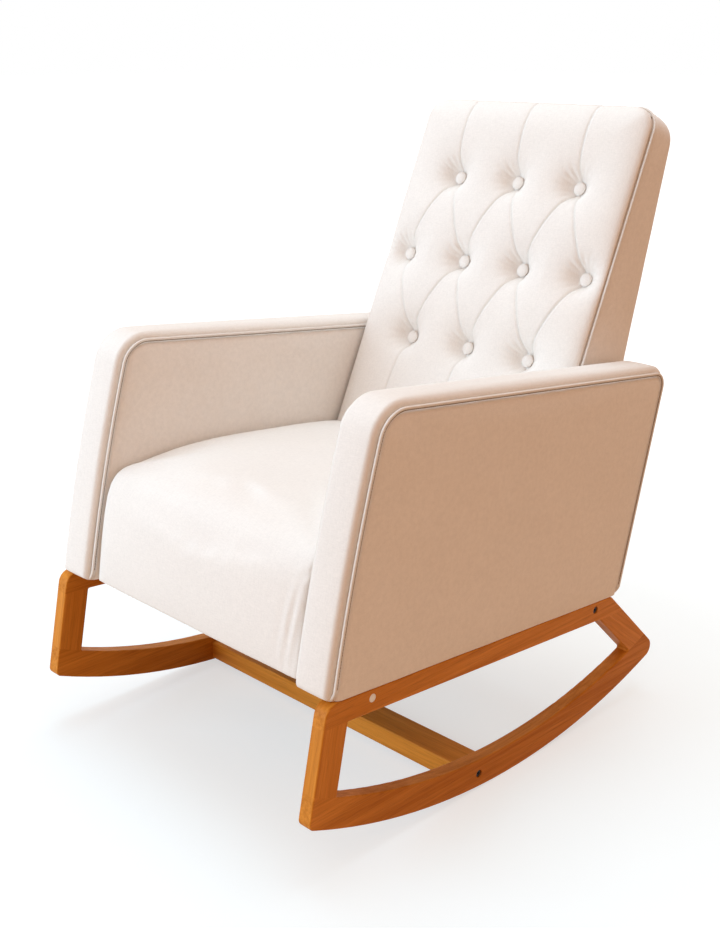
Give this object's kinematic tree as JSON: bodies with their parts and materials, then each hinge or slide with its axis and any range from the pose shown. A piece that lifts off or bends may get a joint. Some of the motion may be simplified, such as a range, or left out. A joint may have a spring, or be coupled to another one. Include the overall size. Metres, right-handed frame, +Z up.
{
  "type": "upholstered rocking armchair",
  "caption": "Rocking armchair with a button-tufted high back, padded closed arms and a crowned seat, on curved stained-wood runners joined by posts, rails and a stretcher.",
  "frame": {"origin": "on the floor, under the middle of the chair's length and width", "axes": "+Z up, -Y to the front where the sitter's feet go, +X to the chair's right as seen from the front"},
  "size_m": [0.65, 0.9146, 0.9959],
  "materials": {
    "stained_wood": "honey-brown stain, satin",
    "frame_timber": "bare planed timber",
    "cream_fabric": "soft cream upholstery cloth",
    "cream_trim": "same cream cloth, cut on the bias over cord and buttons",
    "dust_cloth": "black non-woven cloth",
    "elastic_webbing": "woven elastic",
    "grey_felt": "needled felt",
    "black_steel": "black oxide",
    "zinc_steel": "zinc plated",
    "spring_steel": "oiled spring wire",
    "white_plastic": "moulded"
  },
  "bodies": {
    "root": {"left_runner": "stained_wood", "left_front_post": "stained_wood", "left_rear_post": "stained_wood", "left_top_rail": "stained_wood", "right_runner": "stained_wood", "right_front_post": "stained_wood", "right_rear_post": "stained_wood", "right_top_rail": "stained_wood", "stretcher": "stained_wood", "front_cross_rail": "stained_wood", "rear_cross_rail": "stained_wood", "left_seat_side_rail": "frame_timber", "left_arm_top_board": "frame_timber", "left_arm_bottom_board": "frame_timber", "left_arm_front_upright": "frame_timber", "left_arm_rear_upright": "frame_timber", "left_back_post": "frame_timber", "right_seat_side_rail": "frame_timber", "right_arm_top_board": "frame_timber", "right_arm_bottom_board": "frame_timber", "right_arm_front_upright": "frame_timber", "right_arm_rear_upright": "frame_timber", "right_back_post": "frame_timber", "seat_front_rail": "frame_timber", "seat_rear_rail": "frame_timber", "seat_corner_blocks": "frame_timber", "back_top_rail": "frame_timber", "back_middle_rail": "frame_timber", "back_bottom_rail": "frame_timber", "frame_dowels": "frame_timber", "left_arm_outer_pad": "cream_fabric", "left_arm_inner_pad": "cream_fabric", "left_arm_band": "cream_fabric", "left_back_side_pad": "cream_fabric", "right_arm_outer_pad": "cream_fabric", "right_arm_inner_pad": "cream_fabric", "right_arm_band": "cream_fabric", "right_back_side_pad": "cream_fabric", "seat_cushion": "cream_fabric", "back_cushion": "cream_fabric", "back_top_pad": "cream_fabric", "outside_back": "cream_fabric", "left_arm_welts": "cream_trim", "right_arm_welts": "cream_trim", "back_piping": "cream_trim", "back_buttons": "cream_trim", "dust_cover": "dust_cloth", "back_webbing": "elastic_webbing", "spring_pad": "grey_felt", "rail_bolts": "black_steel", "stretcher_bolts": "black_steel", "seat_bolts": "black_steel", "arm_bolts": "black_steel", "post_bolts": "black_steel", "barrel_nuts": "zinc_steel", "spring_clips": "zinc_steel", "seat_springs": "spring_steel", "bolt_caps": "white_plastic"}
  },
  "joints": []
}
